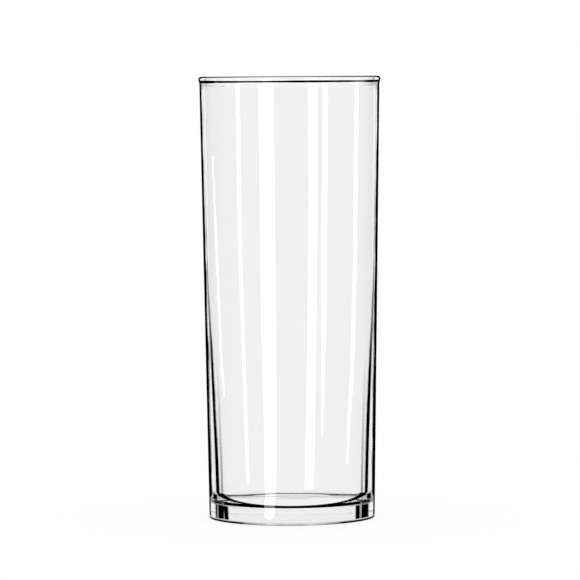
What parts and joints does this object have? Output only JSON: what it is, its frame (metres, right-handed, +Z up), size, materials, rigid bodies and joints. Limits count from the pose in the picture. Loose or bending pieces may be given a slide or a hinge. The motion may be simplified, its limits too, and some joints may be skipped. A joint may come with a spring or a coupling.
{
  "type": "zombie glass",
  "caption": "Tall, narrow, nearly straight-sided drinking glass in clear glass, with a fine rounded lip and a thick flat base, for long mixed drinks.",
  "frame": {"origin": "centre of the foot ring, on the table that the glass stands on", "axes": "+Z up along the axis of revolution, from the foot to the lip; the glass is the same all round, so X and Y are any two level directions"},
  "size_m": [0.0666, 0.0666, 0.1619],
  "materials": {
    "clear_glass": "clear, colourless, fire polished"
  },
  "bodies": {
    "root": {"tumbler": "clear_glass"}
  },
  "joints": []
}
